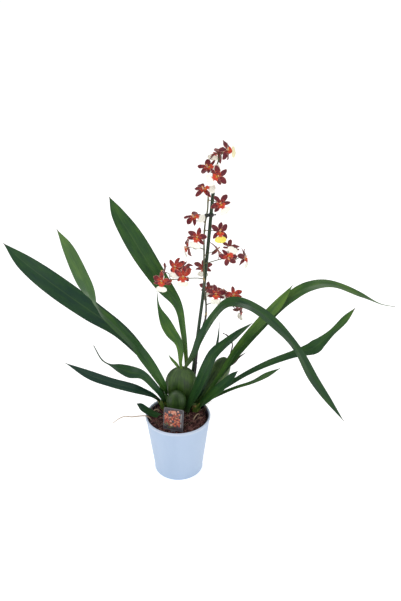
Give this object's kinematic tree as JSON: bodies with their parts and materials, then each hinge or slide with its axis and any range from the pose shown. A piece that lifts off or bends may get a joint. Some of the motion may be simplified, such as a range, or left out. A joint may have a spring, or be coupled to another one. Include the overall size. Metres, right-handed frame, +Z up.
{
  "type": "potted oncidium orchid",
  "caption": "Oncidium orchid in a pale blue pot with strap leaves, green pseudobulbs and a staked spike of dark red flowers.",
  "frame": {"origin": "centre of the pot's flat underside, on the surface that it stands on", "axes": "+Z up, front of the plant label towards -Y, +X to the right seen from the front, along the spread of the leaves"},
  "size_m": [0.7509, 0.2495, 0.6551],
  "materials": {
    "pot_blue_white": "satin, pale blue-white",
    "liner_black": "satin, near black",
    "bark": "rough reddish brown bark",
    "bulb_green": "smooth, slightly glossy plant skin",
    "sheath_green": "dry at the edges, satin",
    "leaf_green": "glossy with fine parallel veins",
    "stem_dark": "smooth, purple-black low and olive above",
    "dry_stem": "dry and rough",
    "petal_maroon": "soft, waxy petals with pale lips",
    "stick_green": "satin dark green",
    "clip_black": "satin black",
    "label_card": "printed card with a plain flower motif",
    "root_tan": "dry, corky"
  },
  "bodies": {
    "root": {"outer_pot": "pot_blue_white", "growing_pot": "liner_black", "bark_mix": "bark", "pseudobulb_main": "bulb_green", "pseudobulb_front": "bulb_green", "pseudobulb_rear": "bulb_green", "sheaths_left": "sheath_green", "sheaths_right": "sheath_green", "leaf_left_long": "leaf_green", "leaf_left_upper": "leaf_green", "leaf_left_middle": "leaf_green", "leaf_left_low": "leaf_green", "leaf_rim_small": "leaf_green", "leaf_back_tall": "leaf_green", "leaf_back_short": "leaf_green", "leaf_back_bract": "leaf_green", "leaf_arch_front": "leaf_green", "leaf_arch_back": "leaf_green", "leaf_right_bright": "leaf_green", "leaf_right_wide": "leaf_green", "leaf_right_low": "leaf_green", "leaf_front_broad": "leaf_green", "leaf_thin_upright": "leaf_green", "leaf_dry_bract": "leaf_green", "leaf_right_short": "leaf_green", "flower_stem": "stem_dark", "old_spike": "dry_stem", "bloom_01": "petal_maroon", "bloom_02": "petal_maroon", "bloom_03": "petal_maroon", "bloom_04": "petal_maroon", "bloom_05": "petal_maroon", "bloom_06": "petal_maroon", "bloom_07": "petal_maroon", "bloom_08": "petal_maroon", "bloom_09": "petal_maroon", "bloom_10": "petal_maroon", "bloom_11": "petal_maroon", "bloom_12": "petal_maroon", "bloom_13": "petal_maroon", "bloom_14": "petal_maroon", "bloom_15": "petal_maroon", "bloom_16": "petal_maroon", "bloom_17": "petal_maroon", "bloom_18": "petal_maroon", "bloom_19": "petal_maroon", "bloom_20": "petal_maroon", "bloom_21": "petal_maroon", "bloom_22": "petal_maroon", "bloom_23": "petal_maroon", "bloom_24": "petal_maroon", "bloom_25": "petal_maroon", "support_stick": "stick_green", "stem_clip": "clip_black", "plant_label": "label_card", "root_over_rim": "root_tan", "root_on_bark_left": "root_tan", "root_on_bark_right": "root_tan"}
  },
  "joints": []
}
